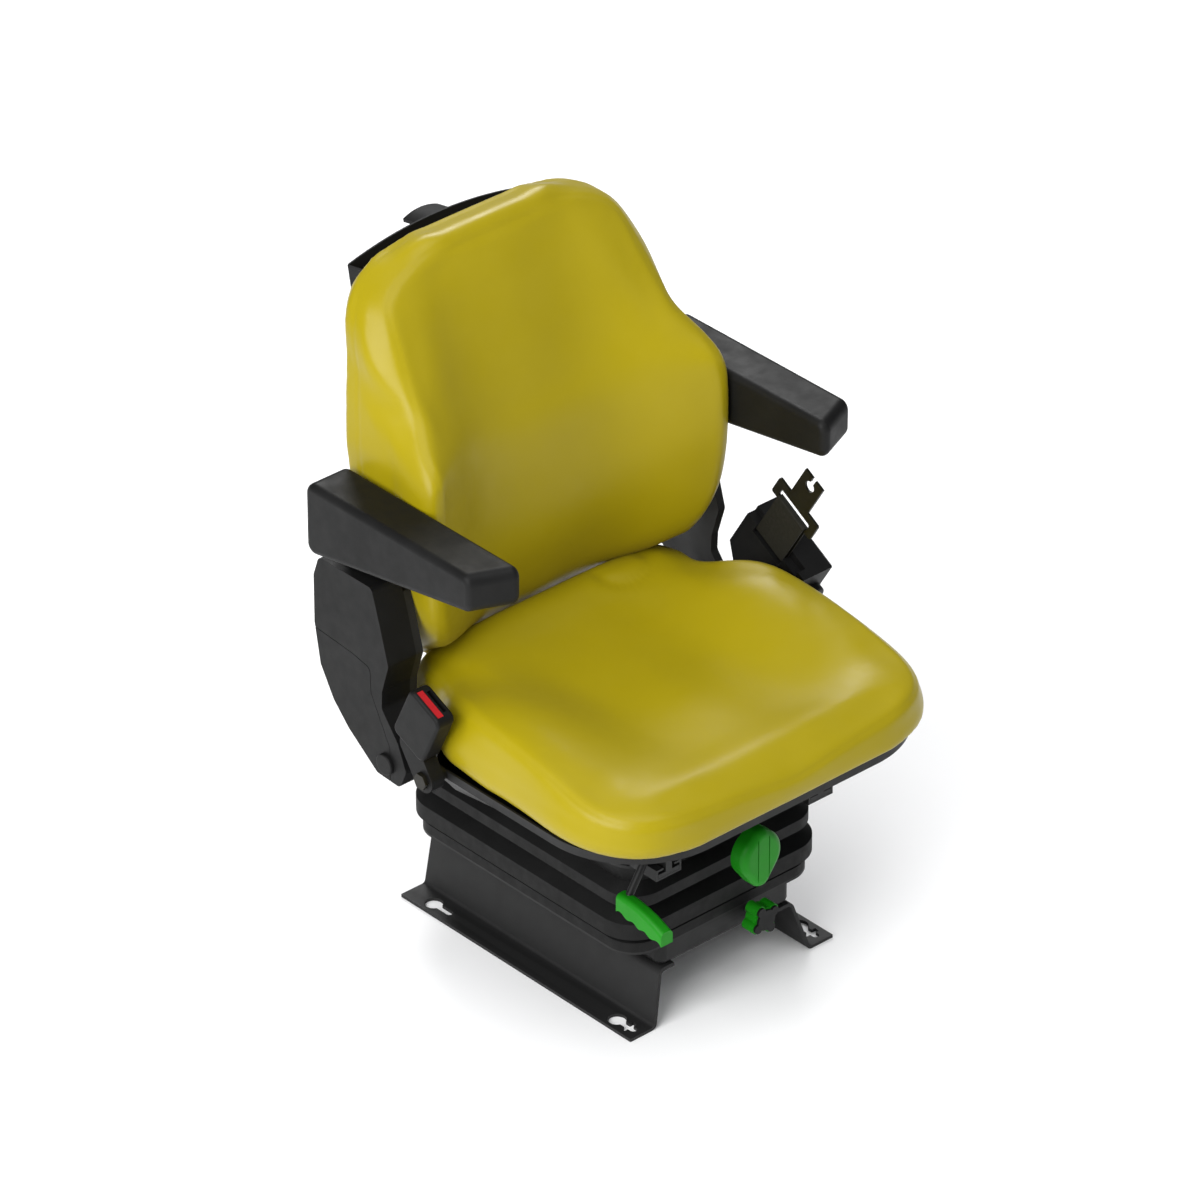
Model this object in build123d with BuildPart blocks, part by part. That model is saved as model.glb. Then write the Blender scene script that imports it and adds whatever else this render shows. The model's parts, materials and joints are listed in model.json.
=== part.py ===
from build123d import *
from math import asin, cos, degrees, radians, sin, tan
import os

# Operator seat with a scissor suspension, in millimetres.
# Origin: middle of the floor plane under the two mounting brackets, +Z up.
# The seated person looks along -Y, so +X is their left side.

# Clearances
running_gap = 0.05      # pin in a bearing hole, radial
slide_gap = 0.3         # sliding faces
seat_gap = 0.3          # soft parts and what carries them
link_gap = 0.7          # rollers and the middle pin of the scissor

# Floor brackets
sheet = 4
flange_half_width = 151
flange_width = 36
flange_front = -190
flange_rear = 190
bracket_lean = 16
bracket_height = 66
bracket_bend = 7
bracket_top_width = 20
bracket_front_set_back = 11
bracket_rear_set_out = 6
keyhole_x = 136
keyhole_diameter = 21
keyhole_slot = 8.5
keyhole_run = 26
keyhole_y = 152
keyhole_cross = 18
keyhole_cross_run = 19
keyhole_cross_width = 6

# Base tray
tray_sheet = 3
tray_half_width = 97
tray_front_room = 28
tray_rear = 188
tray_height = 30
tray_corner = 10
tray_roll = 8
rim_half_width = 139
rim_corner = 36

# Bellows, folds counted from the tray upwards
bellows_height = 109
bellows_wall = 2.5
base_rise = 5
base_return = 4
base_valley = 9
base_fold_height = 12
lower_fold_proud = 7.5
lower_fold_height = 20
upper_fold_proud = 3
upper_fold_height = 14
fold_rise = 11
fold_return = 9
fold_valley = 11

# Scissor suspension
stroke = 60
arm_length = 300
arm_sheet = 6
arm_depth = 26
arm_pitch = 14
outer_arm_x = 82
roller_diameter = 32
roller_width = 5
pivot_diameter = 12
axle_diameter = 10
pivot_y = 150
cross_tube_diameter = 18
cross_tube_set_back = 34
spring_x = 42
spring_y = 15
spring_diameter = 42
spring_wire = 5
spring_turns = 6
damper_y = 85
damper_diameter = 38
damper_rod_diameter = 12
damper_wall = 3
piston_height = 4

# Upper frame
frame_sheet = 4
pivot_ear = 6

# Fore and aft rails
rail_x = 112
rail_width = 36
rail_height = 14
rail_sheet = 2.5
rail_slot = 16
rail_overhang = 30
rail_rear = 160
runner_head_height = 5
runner_web = 9

# Slide lever
lever_rod_diameter = 9
lever_set_back = 14
lever_pivot_z = 236
lever_bend = 20
lever_reach = 48
lever_drop = 44
grip_length = 72
grip_width = 17
grip_below = 14.4
grip_crown = 9.6
grip_top_rear = 7.2
grip_top_front = 2.4
grip_fall = 11
grip_waves = 4
grip_wave = 3
grip_round = 6

# Weight handle
handle_axis_height = 9
handle_length = 60
handle_width = 58
handle_hub_radius = 13
handle_tip_radius = 13
handle_depth = 22
handle_round = 9
handle_stand_off = 38
handle_groove = 1.2
handle_groove_x = 8
spindle_diameter = 10
spindle_length = 80
spindle_block = 24

# Height knob
knob_x = 32
knob_drop = 9
knob_radius = 21
knob_lobe = 7
knob_depth = 17
knob_turn = 30
knob_face = 3
knob_face_inset = 1.5
knob_stand_off = 12
knob_shaft_diameter = 8
knob_shaft_length = 40

# Seat pan and cushion
pan_rim_top = 297
pan_rim_height = 10
pan_wall = 3
pan_floor_rear = 240
pan_slope = 6.5
pan_flank = 28
pan_half_width = 242
pan_front = -284
pan_rear = 128
pan_neck_step = 46
pan_shoulder_y = 22
pan_corner = 118
pan_rear_corner = 40
cushion_front = -290
cushion_tuck = 12
cushion_shoulder = 18
bolster_belly = 0.4         # share of the bolster height where the side is widest
bolster_edge = 0.92         # share of the bolster height at the shoulder
bolster_crest = 0.78        # share of the half width at the bolster's top
bolster_foot = 0.35         # share of the half width where the middle begins

# Recline pivot, carriers and their covers
recline_y = 76
recline_z = 283
recline_pin_diameter = 14
bracket_sheet = 6
bracket_radius = 22
recline_pin_end = 6
carrier_room = 20
carrier_sheet = 10
carrier_top_drop = 18
carrier_front = 54
post_sheet = 10
post_overlap = 38
cover_depth = 40
cover_wall = 3
cover_bend = 8
cover_top_drop = 94
cover_parting = 0.8
boss_diameter = 25
boss_height = 5
back_bar_y = 182
back_bar_z = 418
back_bar_diameter = 16
strut_x = 90
strut_sheet = 6
strut_radius = 13
strut_foot = 8
strut_rise = -70

# Backrest
back_rear = 205
back_rear_z = 560
back_lean = 10.8
back_edge = 14
back_side_room = 5
back_gap = 1.8
wing_belly = 0.45           # share of the side where the front curve begins
wing_foot = 0.6             # share of the ridge's place where the hollow begins
wing_foot_rise = 0.3        # share of the ridge's height at that place
shell_depth = 44
shell_wall = 3
shell_half_width = 132
shell_drop = 122
shell_rise = 212
shell_arch = 16
shell_corner = 40
shell_round = 6
socket_width = 40
socket_depth = 22
socket_wall = 4
socket_height = 54
socket_top = 219
socket_cap_over = 5
socket_cap_arch = 5
socket_cap_sheet = 4

# Armrests
rest_room = 2
rest_width = 58
rest_top = 590
rest_front = -97
rest_rear = 194
rest_rear_height = 90
rest_front_height = 44
rest_bend = 13
rest_round = 8
rest_front_skew = 25
rest_inner_wall = 7
rest_outer_wall = 8.5
rest_pivot_y = 150
rest_pivot_drop = 44
rest_pin_diameter = 12
rest_pin_bite = 4
lug_radius = 24

# Belt buckle
buckle_room = 17
buckle_y = 6
buckle_z = 391
buckle_tilt = 25
buckle_width = 54
buckle_thickness = 25
buckle_length = 72
buckle_corner = 9
buckle_round = 4
button_width = 38
button_thickness = 8
button_length = 10
button_offset = 4
button_travel = 4
tongue_mouth_width = 30
tongue_mouth_depth = 30
tongue_mouth_height = 5.5
boot_radius = 15
boot_thickness = 18
anchor_y = 14
anchor_z = 292
anchor_diameter = 10
anchor_shoulder = 18
anchor_head = 5

# Belt retractor, webbing and tongue
belt_room = 11
belt_y = 21
belt_z = 377
belt_tilt = 31
webbing_width = 48
webbing_thickness = 1.6
webbing_spread = 7.6
webbing_rise = 60
webbing_tuck = 6
retractor_room = 5
retractor_depth = 47
retractor_front = -60
retractor_rear = 42
retractor_drop = 80
retractor_lip = 8
retractor_cut = 24
retractor_round = 4
retractor_cap_radius = 20
retractor_cap_depth = 10
retractor_cap_round = 3
retractor_foot_front = -25
retractor_foot_rear = 15
retractor_head_front = -15
retractor_head_rear = 33
tongue_sheet = 3
tongue_base_half = 36
tongue_base_low = 54
tongue_base_high = 80
tongue_slot_half = 26
tongue_slot_height = 11
tongue_blade_half = 16
tongue_blade_top = 126
tongue_latch_radius = 7
tongue_latch_set_back = 14
tongue_latch_slit = 5


def keep(piece, name):
    """Label a finished piece and write it to its own file."""
    piece.part.label = name
    export_step(piece.part, f"parts/{name}.step")


def keep_right(left, name):
    """Write the mirror image of a left-hand piece."""
    with BuildPart() as right:
        mirror(left.part, about=Plane.YZ)
    keep(right, name)


def keep_pair(left, name):
    """Write a left-hand piece and its mirror image."""
    keep(left, f"{name}_left")
    keep_right(left, f"{name}_right")


os.makedirs("parts", exist_ok=True)

# Heights and places that follow from the sizes above
tray_front = pivot_y - arm_length - tray_front_room
tray_floor = bracket_height
tray_inside = tray_floor + tray_sheet
rim_top = tray_floor + tray_height
tray_mid = (tray_front + tray_rear) / 2
tray_length = tray_rear - tray_front
frame_bottom = rim_top + bellows_height
frame_top = frame_bottom + frame_sheet
lower_pivot_z = tray_inside + link_gap + roller_diameter / 2
upper_pivot_z = frame_bottom - link_gap - roller_diameter / 2
arm_angle = degrees(asin((upper_pivot_z - lower_pivot_z) / arm_length))
inner_arm_x = outer_arm_x - arm_pitch
rail_top = frame_top + rail_height
damper_height = stroke + piston_height + 2 * damper_wall + 3 * slide_gap

# Floor brackets: folded sheet with keyhole slots in the flange
fold_x = flange_half_width - flange_width
wall_run = (bracket_height - sheet) * tan(radians(bracket_lean))
with BuildPart() as bracket:
    with BuildSketch(Plane.XZ):
        with BuildLine():
            FilletPolyline(
                (flange_half_width, sheet / 2),
                (fold_x, sheet / 2),
                (fold_x - wall_run, bracket_height - sheet / 2),
                (fold_x - wall_run - bracket_top_width, bracket_height - sheet / 2),
                radius=bracket_bend,
            )
        trace(line_width=sheet)
    extrude(amount=flange_rear - flange_front, both=True)
    with BuildSketch(Plane.YZ):
        with BuildLine():
            Polyline(
                (flange_front, 0),
                (flange_front, sheet),
                (flange_front + bracket_front_set_back, bracket_height),
                (flange_rear + bracket_rear_set_out, bracket_height),
                (flange_rear, sheet),
                (flange_rear, 0),
                close=True,
            )
        make_face()
    extrude(amount=2 * flange_half_width, mode=Mode.INTERSECT)
    with BuildSketch():
        with Locations((keyhole_x, -keyhole_y), (keyhole_x, keyhole_y)):
            Circle(keyhole_diameter / 2)
            with Locations((0, -keyhole_run / 2)):
                SlotCenterToCenter(keyhole_run, keyhole_slot, rotation=90)
        with Locations((keyhole_x, -keyhole_y - keyhole_cross_run)):
            Rectangle(keyhole_cross, keyhole_cross_width)
    extrude(amount=sheet, mode=Mode.SUBTRACT)
keep_pair(bracket, "mount_bracket")

# Base tray: pressed pan with a rim that carries the bellows
knob_z = rim_top - knob_drop
with BuildPart() as tray:
    with BuildSketch(Plane.XY.offset(tray_floor)):
        with Locations((0, tray_mid)):
            RectangleRounded(2 * tray_half_width, tray_length, tray_corner)
    extrude(amount=tray_height)
    fillet(tray.faces().sort_by(Axis.Z)[0].edges(), tray_roll)
    with BuildSketch(Plane.XY.offset(tray_inside)):
        with Locations((0, tray_mid)):
            RectangleRounded(
                2 * (tray_half_width - tray_sheet),
                tray_length - 2 * tray_sheet,
                tray_corner - tray_sheet,
            )
    extrude(amount=tray_height, mode=Mode.SUBTRACT)
    fillet(tray.faces().filter_by(Axis.Z).sort_by(Axis.Z)[1].edges(), tray_roll - tray_sheet)
    with BuildSketch(Plane.XY.offset(rim_top)):
        with Locations((0, tray_mid)):
            RectangleRounded(2 * rim_half_width, tray_length, rim_corner)
            RectangleRounded(
                2 * (tray_half_width - tray_sheet),
                tray_length - 2 * tray_sheet,
                tray_corner - tray_sheet,
                mode=Mode.SUBTRACT,
            )
    extrude(amount=-tray_sheet)
    with BuildSketch(Plane.YZ):
        with Locations((pivot_y, lower_pivot_z)):
            Circle(pivot_diameter / 2 + running_gap)
    extrude(amount=2 * tray_half_width, both=True, mode=Mode.SUBTRACT)
    with BuildSketch(Plane.XZ.offset(-tray_front)):
        with Locations((knob_x, knob_z)):
            Circle(knob_shaft_diameter / 2 + running_gap)
    extrude(amount=-2 * tray_sheet, mode=Mode.SUBTRACT)
keep(tray, "base_tray")

# Bellows: rings of a rounded rectangle, stacked as folds
base_top = rim_top + base_fold_height
lower_bottom = base_top + base_rise + base_return
lower_top = lower_bottom + lower_fold_height
upper_bottom = lower_top + fold_rise + fold_return
upper_top = upper_bottom + upper_fold_height
bellows_profile = (
    (rim_top, 0),
    (base_top, 0),
    (base_top + base_rise, -base_valley),
    (lower_bottom, lower_fold_proud),
    (lower_top, lower_fold_proud),
    (lower_top + fold_rise, -fold_valley),
    (upper_bottom, upper_fold_proud),
    (upper_top, upper_fold_proud),
    (upper_top + fold_rise, -fold_valley),
    (frame_bottom, 0),
)
with BuildPart() as bellows:
    for wall, mode in ((0, Mode.ADD), (bellows_wall, Mode.SUBTRACT)):
        for z, proud in bellows_profile:
            with BuildSketch(Plane.XY.offset(z)):
                with Locations((0, tray_mid)):
                    RectangleRounded(
                        2 * (rim_half_width + proud - wall),
                        tray_length + 2 * (proud - wall),
                        rim_corner + proud - wall,
                    )
        loft(ruled=True, mode=mode)
keep(bellows, "bellows")


# Scissor arms: two flat bars, a cross tube and roller axles in each frame
def scissor_arms(bar_x, pivot_z, rise):
    """Return an arm frame that runs forward and up or down from its pivot."""
    slope = rise * arm_angle
    end_y = pivot_y - arm_length * cos(radians(slope))
    end_z = pivot_z + arm_length * sin(radians(slope))
    share = cross_tube_set_back / arm_length
    tube_y = end_y + share * (pivot_y - end_y)
    tube_z = end_z + share * (pivot_z - end_z)
    with BuildPart() as arms:
        with BuildSketch(Plane.YZ.offset(bar_x - arm_sheet / 2)):
            with Locations(((pivot_y + end_y) / 2, (pivot_z + end_z) / 2)):
                SlotCenterToCenter(arm_length, arm_depth, rotation=-slope)
            with Locations((pivot_y, pivot_z)):
                Circle(pivot_diameter / 2 + running_gap, mode=Mode.SUBTRACT)
            with Locations(((pivot_y + end_y) / 2, (pivot_z + end_z) / 2)):
                middle_gap = running_gap if rise > 0 else link_gap
                Circle(pivot_diameter / 2 + middle_gap, mode=Mode.SUBTRACT)
        extrude(amount=arm_sheet)
        with BuildSketch(Plane.YZ.offset(bar_x)):
            with Locations((end_y, end_z)):
                Circle(axle_diameter / 2)
        extrude(amount=arm_sheet / 2 + roller_width + 2 * slide_gap)
        mirror(about=Plane.YZ)
        with BuildSketch(Plane.YZ):
            with Locations((tube_y, tube_z)):
                Circle(cross_tube_diameter / 2)
        extrude(amount=bar_x - arm_sheet / 2, both=True)
    with BuildPart() as rollers:
        with BuildSketch(Plane.YZ.offset(bar_x + arm_sheet / 2 + slide_gap)):
            with Locations((end_y, end_z)):
                Circle(roller_diameter / 2)
                Circle(axle_diameter / 2 + running_gap, mode=Mode.SUBTRACT)
        extrude(amount=roller_width)
        mirror(about=Plane.YZ)
    return arms, rollers


outer_arms, upper_rollers = scissor_arms(outer_arm_x, lower_pivot_z, 1)
inner_arms, lower_rollers = scissor_arms(inner_arm_x, upper_pivot_z, -1)
keep(outer_arms, "outer_scissor_arms")
keep(upper_rollers, "upper_rollers")
keep(inner_arms, "inner_scissor_arms")
keep(lower_rollers, "lower_rollers")

middle_y = pivot_y - arm_length / 2 * cos(radians(arm_angle))
middle_z = (lower_pivot_z + upper_pivot_z) / 2
with BuildPart() as middle_pins:
    with BuildSketch(Plane.YZ.offset(inner_arm_x - arm_sheet / 2)):
        with Locations((middle_y, middle_z)):
            Circle(pivot_diameter / 2)
    extrude(amount=arm_pitch + arm_sheet)
    mirror(about=Plane.YZ)
keep(middle_pins, "scissor_middle_pins")

ear_x = inner_arm_x - arm_sheet / 2 - slide_gap - pivot_ear
for name, z, half_length in (
    ("lower_pivot_shaft", lower_pivot_z, tray_half_width),
    ("upper_pivot_shaft", upper_pivot_z, inner_arm_x + arm_sheet / 2),
):
    with BuildPart() as shaft:
        with BuildSketch(Plane.YZ):
            with Locations((pivot_y, z)):
                Circle(pivot_diameter / 2)
        extrude(amount=half_length, both=True)
    keep(shaft, name)

# Springs and damper between the tray and the upper frame
spring_height = frame_bottom - tray_inside - spring_wire
with BuildPart() as spring:
    with BuildLine(Plane((spring_x, spring_y, tray_inside + spring_wire / 2))):
        coil = Helix(
            pitch=spring_height / spring_turns,
            height=spring_height,
            radius=(spring_diameter - spring_wire) / 2,
        )
    with BuildSketch(Plane(coil @ 0, z_dir=coil % 0)):
        RegularPolygon(spring_wire / 2, 6)
    sweep(is_frenet=True)
keep_pair(spring, "suspension_spring")

with BuildPart() as damper_body:
    with Locations((0, damper_y, tray_inside)):
        Cylinder(damper_diameter / 2, damper_height, align=(Align.CENTER, Align.CENTER, Align.MIN))
    with Locations((0, damper_y, tray_inside + damper_wall)):
        Cylinder(
            damper_diameter / 2 - damper_wall,
            damper_height - 2 * damper_wall,
            align=(Align.CENTER, Align.CENTER, Align.MIN),
            mode=Mode.SUBTRACT,
        )
    with Locations((0, damper_y, tray_inside)):
        Cylinder(
            damper_rod_diameter / 2 + running_gap,
            damper_height,
            align=(Align.CENTER, Align.CENTER, Align.MIN),
            mode=Mode.SUBTRACT,
        )
    with Locations((0, damper_y, tray_inside)):
        Cylinder(damper_diameter / 2, damper_wall, align=(Align.CENTER, Align.CENTER, Align.MIN))
keep(damper_body, "damper_body")

piston_top = tray_inside + damper_height - damper_wall - slide_gap
with BuildPart() as damper_rod:
    with Locations((0, damper_y, piston_top)):
        Cylinder(
            damper_diameter / 2 - damper_wall - running_gap,
            piston_height,
            align=(Align.CENTER, Align.CENTER, Align.MAX),
        )
    with Locations((0, damper_y, frame_bottom)):
        Cylinder(
            damper_rod_diameter / 2,
            frame_bottom - piston_top + piston_height,
            align=(Align.CENTER, Align.CENTER, Align.MAX),
        )
keep(damper_rod, "damper_rod")

# Upper frame: plate with pivot ears below and the spindle block on top
spindle_z = frame_top + handle_axis_height
handle_rear = tray_front - handle_stand_off
with BuildPart() as upper_frame:
    with BuildSketch(Plane.XY.offset(frame_bottom)):
        with Locations((0, tray_mid)):
            RectangleRounded(2 * rim_half_width, tray_length, rim_corner)
    extrude(amount=frame_sheet)
    with BuildSketch(Plane.YZ.offset(ear_x)):
        with Locations((pivot_y, upper_pivot_z)):
            Circle(pivot_diameter)
        with Locations((pivot_y, (upper_pivot_z + frame_bottom) / 2)):
            Rectangle(2 * pivot_diameter, frame_bottom - upper_pivot_z)
        with Locations((pivot_y, upper_pivot_z)):
            Circle(pivot_diameter / 2 + running_gap, mode=Mode.SUBTRACT)
    extrude(amount=pivot_ear)
    mirror(about=Plane.YZ)
    with Locations((0, tray_front, frame_top)):
        Box(
            spindle_block,
            spindle_block,
            handle_axis_height + spindle_block / 3,
            align=(Align.CENTER, Align.MIN, Align.MIN),
        )
    with BuildSketch(Plane.XZ.offset(-tray_front)):
        with Locations((0, spindle_z)):
            Circle(spindle_diameter / 2 + running_gap)
    extrude(amount=-spindle_block, mode=Mode.SUBTRACT)
keep(upper_frame, "upper_frame")

# Fore and aft rails: lipped channels below, runners with sloped webs above
rail_front = tray_front - rail_overhang
lever_pivot_y = rail_front + lever_set_back
slope = tan(radians(pan_slope))
head_bottom = frame_top + rail_sheet + slide_gap
with BuildPart() as rail:
    with BuildSketch(Plane.XZ.offset(-rail_front)):
        with Locations((rail_x, frame_top + rail_height / 2)):
            Rectangle(rail_width, rail_height)
            Rectangle(rail_width - 2 * rail_sheet, rail_height - 2 * rail_sheet, mode=Mode.SUBTRACT)
        with Locations((rail_x, rail_top)):
            Rectangle(rail_slot, 3 * rail_sheet, mode=Mode.SUBTRACT)
    extrude(amount=rail_front - rail_rear)
keep_pair(rail, "slide_rail")

with BuildPart() as runner:
    with BuildSketch(Plane.XZ.offset(-rail_front)):
        with Locations((rail_x, head_bottom + runner_head_height / 2)):
            Rectangle(rail_width - 2 * rail_sheet - 2 * slide_gap, runner_head_height)
    extrude(amount=rail_front - rail_rear)
    with BuildSketch(Plane.YZ.offset(rail_x - runner_web / 2)):
        with BuildLine():
            Polyline(
                (rail_front, head_bottom),
                (rail_front, pan_floor_rear + slope * (pan_rear - rail_front)),
                (pan_rear - pan_flank, pan_floor_rear + slope * pan_flank),
                (pan_rear - pan_flank, rail_top + rail_height),
                (rail_rear, rail_top),
                (rail_rear, head_bottom),
                close=True,
            )
        make_face()
    extrude(amount=runner_web)
    with BuildSketch(Plane.YZ.offset(rail_x - runner_web)):
        with Locations((lever_pivot_y, lever_pivot_z)):
            Circle(lever_rod_diameter / 2 + running_gap)
    extrude(amount=2 * runner_web, mode=Mode.SUBTRACT)
keep_pair(runner, "slide_runner")

# Slide lever: bent rod with a finger grip, on the right-hand runner
grip_x = -(rail_x + lever_reach)
grip_z = lever_pivot_z - lever_drop
grip_rear = lever_pivot_y + grip_width / 2
grip_front = grip_rear - grip_length
with BuildPart() as lever_rod:
    with BuildLine():
        lever_path = FilletPolyline(
            (runner_web - rail_x, lever_pivot_y, lever_pivot_z),
            (-rail_x - lever_bend, lever_pivot_y, lever_pivot_z),
            (grip_x, lever_pivot_y, grip_z),
            (grip_x, lever_pivot_y - grip_length / 2, grip_z - grip_fall / 2),
            radius=lever_rod_diameter,
        )
    with BuildSketch(Plane(lever_path @ 0, z_dir=lever_path % 0)):
        Circle(lever_rod_diameter / 2)
    sweep()
keep(lever_rod, "slide_lever_rod")

wave_pitch = grip_length / (2 * grip_waves)
wave_points = [
    (
        grip_rear - step * wave_pitch,
        grip_z - grip_below - grip_fall * step / (2 * grip_waves) + grip_wave * (step % 2),
    )
    for step in range(2 * grip_waves + 1)
]
with BuildPart() as lever_grip:
    with BuildSketch(Plane.YZ.offset(grip_x - grip_width / 2)):
        with BuildLine():
            top_rear = (grip_rear, grip_z + grip_top_rear)
            top_front = (grip_front, grip_z + grip_top_front - grip_fall)
            top_mid = ((grip_rear + grip_front) / 2, grip_z + grip_crown - grip_fall / 2)
            Spline(*wave_points)
            ThreePointArc(top_rear, top_mid, top_front)
            Line(top_rear, wave_points[0])
            Line(top_front, wave_points[-1])
        make_face()
    extrude(amount=grip_width)
    fillet(lever_grip.faces().sort_by(Axis.Z)[-1].edges().filter_by(GeomType.CIRCLE), grip_round)
    add(lever_rod.part, mode=Mode.SUBTRACT)
keep(lever_grip, "slide_lever_grip")

# Weight handle: teardrop grip on a spindle through the upper frame
with BuildPart() as handle:
    with BuildSketch(Plane.XZ.offset(-handle_rear)):
        with Locations((0, spindle_z)):
            Circle(handle_hub_radius)
        with Locations((0, spindle_z - handle_length / 3)):
            Circle(handle_width / 2)
        with Locations((0, spindle_z - handle_length + handle_tip_radius)):
            Circle(handle_tip_radius)
        make_hull()
    extrude(amount=handle_depth)
    fillet(handle.faces().sort_by(Axis.Y)[0].edges(), handle_round)
    with BuildSketch(Plane.XZ.offset(-handle_rear + handle_depth)):
        with Locations((-handle_groove_x, spindle_z), (handle_groove_x, spindle_z)):
            Rectangle(handle_groove, 3 * handle_length)
    extrude(amount=-handle_groove, mode=Mode.SUBTRACT)
    with BuildSketch(Plane.XZ.offset(-handle_rear)):
        with Locations((0, spindle_z)):
            Circle(spindle_diameter / 2)
    extrude(amount=handle_depth / 2, mode=Mode.SUBTRACT)
keep(handle, "weight_handle")

with BuildPart() as spindle:
    with BuildSketch(Plane.XZ.offset(-handle_rear + handle_depth / 2)):
        with Locations((0, spindle_z)):
            Circle(spindle_diameter / 2)
    extrude(amount=-spindle_length)
keep(spindle, "weight_spindle")

# Height knob: four lobes with a dark face, on a shaft through the tray
knob_rear = tray_front - knob_stand_off


def knob_slice(y, depth, inset):
    """Return one thickness of the four-lobed knob, reaching forward from y."""
    with BuildPart() as slice_part:
        with BuildSketch(Plane.XZ.offset(-y)):
            with Locations((knob_x, knob_z)):
                Circle(knob_radius - knob_lobe - inset)
                with PolarLocations(knob_radius - knob_lobe, 4, start_angle=knob_turn):
                    Circle(knob_lobe - inset)
        extrude(amount=depth)
    return slice_part


knob_body = knob_slice(knob_rear, knob_depth, 0)
with BuildPart() as knob_green:
    add(knob_body.part)
    with BuildSketch(Plane.XZ.offset(-knob_rear)):
        with Locations((knob_x, knob_z)):
            Circle(knob_shaft_diameter / 2)
    extrude(amount=knob_depth / 2, mode=Mode.SUBTRACT)
keep(knob_green, "height_knob_body")
keep(knob_slice(knob_rear - knob_depth, knob_face, knob_face_inset), "height_knob_face")
with BuildPart() as knob_shaft:
    with BuildSketch(Plane.XZ.offset(-knob_rear + knob_depth / 2)):
        with Locations((knob_x, knob_z)):
            Circle(knob_shaft_diameter / 2)
    extrude(amount=-knob_shaft_length)
keep(knob_shaft, "height_knob_shaft")


# Seat pan: shallow dish whose floor rises to the front
pan_neck_y = pan_shoulder_y + pan_neck_step
pan_rear_half_width = pan_half_width - pan_neck_step


def pan_outline(plane, inset, y_shift):
    """Return the plan of the seat on a plane, set in by an amount."""
    wide = pan_half_width - inset
    narrow = pan_rear_half_width - inset
    with BuildSketch(plane) as outline:
        with BuildLine():
            Polyline(
                (-wide, pan_front + inset - y_shift),
                (wide, pan_front + inset - y_shift),
                (wide, pan_shoulder_y - y_shift),
                (narrow, pan_neck_y - y_shift),
                (narrow, pan_rear - inset - y_shift),
                (-narrow, pan_rear - inset - y_shift),
                (-narrow, pan_neck_y - y_shift),
                (-wide, pan_shoulder_y - y_shift),
                close=True,
            )
        make_face()
        fillet(outline.vertices().group_by(Axis.Y)[0], pan_corner - inset)
        fillet(outline.vertices().group_by(Axis.Y)[-1], pan_rear_corner - inset)
    return outline


rim_bottom = pan_rim_top - pan_rim_height
floor_tilt = Vector(0, sin(radians(pan_slope)), cos(radians(pan_slope)))
floor_plane = Plane((0, pan_rear, pan_floor_rear), x_dir=(1, 0, 0), z_dir=floor_tilt)
rim_sketch = pan_outline(Plane.XY.offset(rim_bottom), 0, 0)
floor_sketch = pan_outline(floor_plane, pan_flank, pan_rear)
rim_inside = pan_outline(Plane.XY.offset(pan_rim_top), pan_wall, 0)
floor_inside = pan_outline(floor_plane.offset(pan_wall), pan_flank + pan_wall, pan_rear)
with BuildPart() as pan:
    loft([floor_sketch.sketch, rim_sketch.sketch])
    extrude(rim_sketch.sketch, amount=pan_rim_height)
    loft([floor_inside.sketch, rim_inside.sketch], mode=Mode.SUBTRACT)
keep(pan, "seat_pan")


# Seat cushion: cross sections along the seat, each with two side bolsters
def mirrored(points, middle):
    """Return the points, the middle point, then the points mirrored about x = 0."""
    return [*points, middle, *[(-x, other) for x, other in reversed(points)]]


def cushion_section(y, half_width, middle, bolster):
    """Return one upright section of the seat cushion; heights from the pan rim."""
    base = pan_rim_top + seat_gap
    left = [
        (cushion_tuck - half_width, base),
        (-half_width, base + bolster * bolster_belly),
        (cushion_shoulder - half_width, base + bolster * bolster_edge),
        (-half_width * bolster_crest, base + bolster),
        (-half_width * bolster_foot, base + middle),
    ]
    with BuildSketch(Plane.XZ.offset(-y)) as section:
        with BuildLine():
            Spline(*mirrored(left, (0, base + middle)))
            Line(left[0], (-left[0][0], base))
        make_face()
    return section.sketch


# Place along the seat, half width, height in the middle, height of the bolsters
cushion_stations = (
    (cushion_front, pan_half_width - 102, 15, 15),
    (cushion_front + 10, pan_half_width - 60, 35, 35),
    (cushion_front + 37, pan_half_width - 24, 48, 49),
    (cushion_front + 87, pan_half_width - 2, 48, 56),
    (cushion_front + 170, pan_half_width - 2, 49, 71),
    (cushion_front + 250, pan_half_width - 2, 48, 77),
    (pan_rear - 98, pan_half_width - 10, 53, 70),
    (pan_rear - 53, pan_rear_half_width, 64, 66),
    (pan_rear - 16, pan_rear_half_width - 4, 73, 69),
    (pan_rear, pan_rear_half_width - 14, 60, 58),
)
with BuildPart() as seat_cushion:
    loft([cushion_section(*station) for station in cushion_stations])
keep(seat_cushion, "seat_cushion")


carrier_x = pan_rear_half_width + carrier_room
back_half_width = carrier_x - back_side_room


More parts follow.
